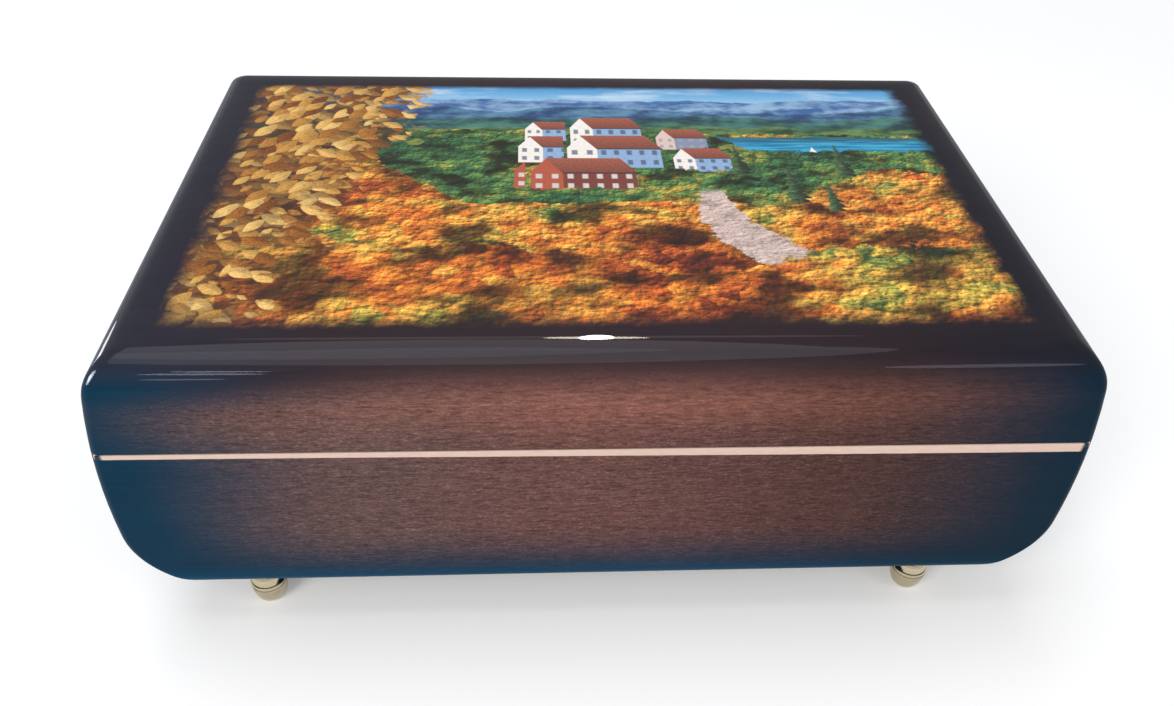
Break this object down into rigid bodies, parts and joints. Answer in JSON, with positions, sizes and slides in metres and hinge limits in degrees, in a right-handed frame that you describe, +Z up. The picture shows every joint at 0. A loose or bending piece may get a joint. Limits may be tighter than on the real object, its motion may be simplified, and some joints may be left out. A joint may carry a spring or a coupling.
{
  "type": "music box",
  "caption": "Lacquered wooden music box with bowed ends, a picture-topped hinged lid, turned brass feet, a lined tray and a key-wound cylinder movement.",
  "frame": {"origin": "on the table, in the middle of the four feet", "axes": "+X along the front to the right, +Y from the front to the back, +Z up"},
  "size_m": [0.1764, 0.1104, 0.0675],
  "materials": {
    "lacquered_wood": "high gloss clear lacquer over dark walnut shaded to blue black",
    "printed_panel": "printed landscape panel under the same gloss lacquer",
    "pale_wood": "bare, unstained",
    "plain_wood": "satin",
    "fibreboard": "raw board",
    "velvet": "short pile",
    "brass": "polished",
    "steel": "fine ground",
    "dull_steel": "stamped sheet",
    "zinc": "die cast",
    "clear_glass": "clear sheet with ground edges"
  },
  "bodies": {
    "case": {"base_body": "lacquered_wood", "rim_banding": "pale_wood", "bottom_board": "fibreboard", "partition_wall": "plain_wood", "glass_cover": "clear_glass", "glass_ledge_front": "plain_wood", "glass_ledge_rear": "plain_wood", "tray_floor": "fibreboard", "tray_lining": "velvet", "tray_pad": "velvet", "foot_front_left": "brass", "foot_front_right": "brass", "foot_rear_left": "brass", "foot_rear_right": "brass", "case_hinge_leaf_left": "brass", "case_hinge_leaf_right": "brass", "hinge_pin_left": "brass", "hinge_pin_right": "brass", "case_hinge_screw_left_a": "brass", "case_hinge_screw_left_b": "brass", "case_hinge_screw_right_a": "brass", "case_hinge_screw_right_b": "brass", "bedplate": "zinc", "barrel_bridge": "zinc", "rear_bracket": "zinc", "governor_frame": "zinc", "comb_base": "zinc", "comb": "steel", "comb_screw_1": "steel", "comb_screw_2": "steel", "mounting_screw_1": "steel", "mounting_screw_2": "steel", "mounting_screw_3": "steel", "ratchet_click": "steel"},
    "lid": {"lid_shell": "lacquered_wood", "lid_picture": "printed_panel", "lid_pad": "velvet", "lid_hinge_leaf_left": "brass", "lid_hinge_leaf_right": "brass", "lid_hinge_screw_left_a": "brass", "lid_hinge_screw_left_b": "brass", "lid_hinge_screw_right_a": "brass", "lid_hinge_screw_right_b": "brass"},
    "winder": {"winding_key": "brass", "winding_arbor": "steel", "ratchet_wheel": "steel"},
    "barrel": {"spring_barrel": "brass", "barrel_cover": "brass", "mainspring": "steel"},
    "cylinder": {"pin_cylinder": "brass", "cylinder_arbor": "steel", "drive_pinion": "steel", "great_wheel": "brass"},
    "governor": {"governor_wheel": "brass"},
    "fan": {"worm_shaft": "steel", "air_brake": "dull_steel"},
    "stop": {"stop_rod": "steel"}
  },
  "joints": [
    {"name": "lid_hinge", "type": "hinge", "parent": "case", "child": "lid", "pos_m": [0, 0.05425, 0.04863], "axis": [-1, 0, 0], "range_deg": [0, 95]},
    {"name": "key_winding", "type": "hinge", "parent": "case", "child": "winder", "pos_m": [-0.052, -0.015, 0.015], "axis": [0, 0, 1], "range_deg": [0, 1530]},
    {"name": "barrel_turn", "type": "hinge", "parent": "case", "child": "barrel", "pos_m": [-0.052, -0.015, 0.02], "axis": [0, 0, 1], "continuous": true},
    {"name": "cylinder_turn", "type": "hinge", "parent": "case", "child": "cylinder", "pos_m": [-0.052, 0, 0.0298], "axis": [0, 1, 0], "continuous": true},
    {"name": "governor_turn", "type": "hinge", "parent": "case", "child": "governor", "pos_m": [-0.04564, 0.02, 0.02344], "axis": [0, 1, 0], "continuous": true},
    {"name": "fan_turn", "type": "hinge", "parent": "case", "child": "fan", "pos_m": [-0.04034, 0.024, 0.03], "axis": [0, 0, 1], "continuous": true},
    {"name": "stop_slide", "type": "slide", "parent": "case", "child": "stop", "axis": [0, 0, 1], "range_m": [0, 0.0034]}
  ],
  "couplings": [
    {"joint": "cylinder_turn", "follows": "barrel_turn", "ratio": 4},
    {"joint": "governor_turn", "follows": "barrel_turn", "ratio": -16},
    {"joint": "fan_turn", "follows": "barrel_turn", "ratio": -160},
    {"joint": "stop_slide", "follows": "lid_hinge", "m_per_rad": 0.002}
  ]
}
